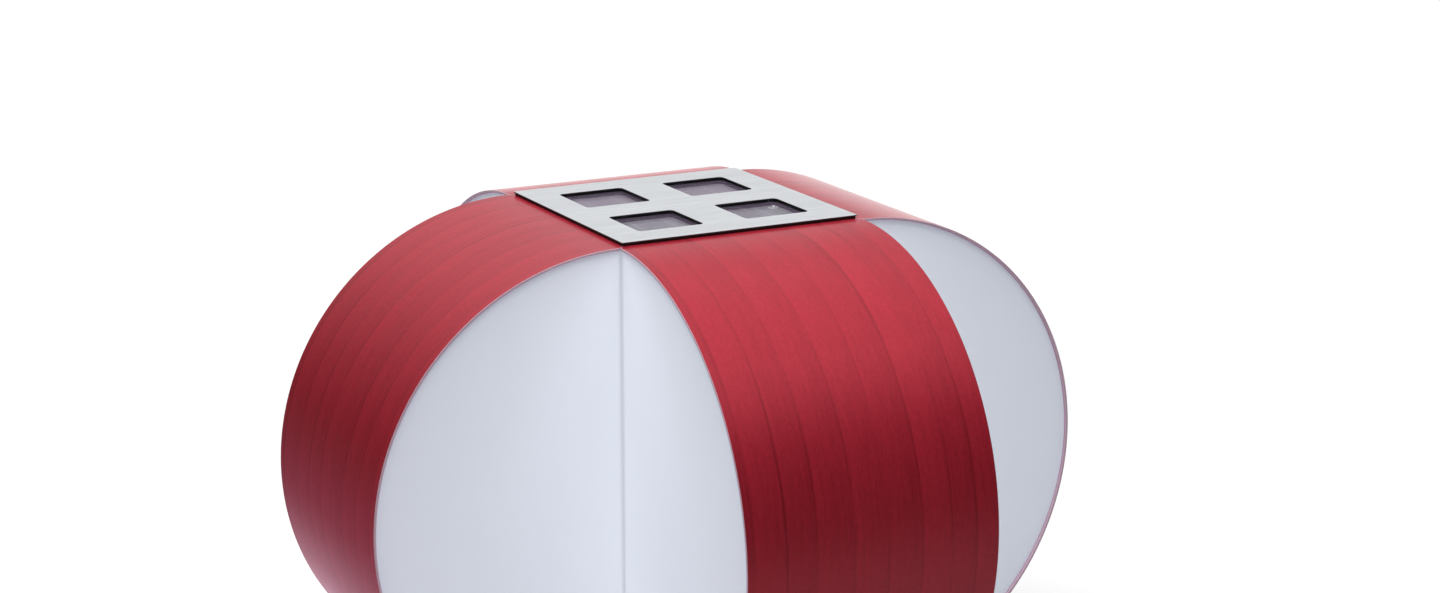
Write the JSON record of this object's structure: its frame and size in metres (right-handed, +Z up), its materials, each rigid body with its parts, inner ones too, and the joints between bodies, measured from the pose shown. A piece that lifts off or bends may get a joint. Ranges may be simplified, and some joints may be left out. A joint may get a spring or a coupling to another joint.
{
  "type": "floating solar lamp",
  "caption": "Solar-charged floating lamp: bent red veneer bands between square steel plates, folded opal sheets closing the lobes, solar cells on top and a push button in the base.",
  "frame": {"origin": "on the ground, below the middle of the lamp, at the bottom of its feet", "axes": "+Z up, front lobe towards -Y, right lobe towards +X"},
  "size_m": [0.298, 0.298, 0.202],
  "materials": {
    "steel": "brushed satin",
    "zinc": "zinc plated",
    "black_rubber": "matt",
    "glass": "clear, polished",
    "solar_cell": "dark violet, satin",
    "tinned_copper": "tinned",
    "sensor": "clear dome",
    "circuit_board": "lacquered",
    "grey_plastic": "moulded",
    "red_veneer": "dyed, satin lacquer, fine grain along the band",
    "opal_plastic": "opal, satin",
    "aluminium": "turned",
    "lead_sheath": "smooth sheath",
    "white_plastic": "moulded",
    "brass": "turned",
    "lens_plastic": "frosted",
    "led": "phosphor",
    "black_plastic": "moulded",
    "battery_wrap": "shrink sleeve",
    "spring_steel": "drawn wire"
  },
  "bodies": {
    "lamp": {"top_plate": "steel", "base_plate": "steel", "top_studs": "zinc", "stud_washers": "zinc", "stud_nuts": "zinc", "post_screws": "zinc", "small_screws": "zinc", "base_screws": "zinc", "bush_nut": "zinc", "button_bush": "zinc", "top_gasket": "black_rubber", "base_gasket": "black_rubber", "lens_seal": "black_rubber", "lead_grommet": "black_rubber", "rubber_feet": "black_rubber", "solar_glass": "glass", "solar_cells": "solar_cell", "cell_tabs": "tinned_copper", "battery_contacts": "tinned_copper", "dusk_sensor": "sensor", "solar_board": "circuit_board", "control_board": "circuit_board", "top_frame": "grey_plastic", "veneer_front": "red_veneer", "veneer_right": "red_veneer", "veneer_back": "red_veneer", "veneer_left": "red_veneer", "diffuser_front_right": "opal_plastic", "diffuser_back_right": "opal_plastic", "diffuser_back_left": "opal_plastic", "diffuser_front_left": "opal_plastic", "corner_posts": "aluminium", "solar_lead": "lead_sheath", "led_wires": "lead_sheath", "base_housing": "white_plastic", "lead_clips": "white_plastic", "led_board": "white_plastic", "base_inserts": "brass", "led_lens": "lens_plastic", "leds": "led", "control_parts": "black_plastic", "battery_holder": "black_plastic", "switch_body": "black_plastic", "battery_cells": "battery_wrap", "switch_spring": "spring_steel"},
    "button": {"power_button": "black_plastic", "button_seal": "black_rubber", "switch_plunger": "white_plastic"}
  },
  "joints": [
    {"name": "button_press", "type": "slide", "parent": "lamp", "child": "button", "axis": [0, 0, 1], "range_m": [0, 0.002], "stiffness_N_per_m": 500, "springref_m": -0.003, "deforming": ["switch_spring"]}
  ]
}
